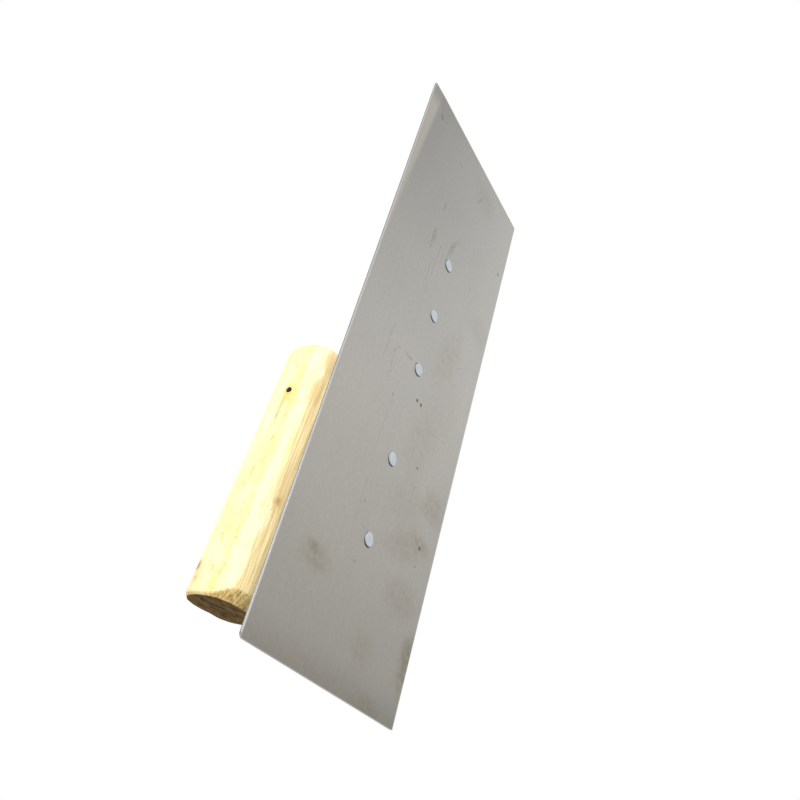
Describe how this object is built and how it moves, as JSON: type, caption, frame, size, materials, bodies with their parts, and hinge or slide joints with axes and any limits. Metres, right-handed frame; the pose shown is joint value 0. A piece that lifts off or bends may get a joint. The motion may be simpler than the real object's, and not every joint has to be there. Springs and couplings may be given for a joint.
{
  "type": "plastering trowel",
  "caption": "Flat rectangular plastering trowel: thin steel blade riveted to a spine bar, with an upright welded shank and a pinned, chamfered wooden handle raised above the blade's back",
  "frame": {"origin": "centre of the blade's working face, which is the bottom centre of the bounding box", "axes": "+X along the blade to its toe end, +Y across the blade, +Z out of the blade's back, up through the handle"},
  "size_m": [0.28, 0.1, 0.0766],
  "materials": {
    "blade_steel": "used, lightly stained and scratched",
    "bar_steel": "mill finish",
    "shank_steel": "mill finish",
    "weld_steel": "rippled weld bead",
    "rivet_metal": "peened flush and rubbed bright",
    "pale_wood": "bare, sanded, open grain",
    "rusty_pin": "dark and rusty"
  },
  "bodies": {
    "root": {"blade": "blade_steel", "spine_bar": "bar_steel", "rivet_1": "rivet_metal", "rivet_2": "rivet_metal", "rivet_3": "rivet_metal", "rivet_4": "rivet_metal", "rivet_5": "rivet_metal", "shank": "shank_steel", "weld_left": "weld_steel", "weld_right": "weld_steel", "handle": "pale_wood", "tang_pin": "rusty_pin"}
  },
  "joints": []
}
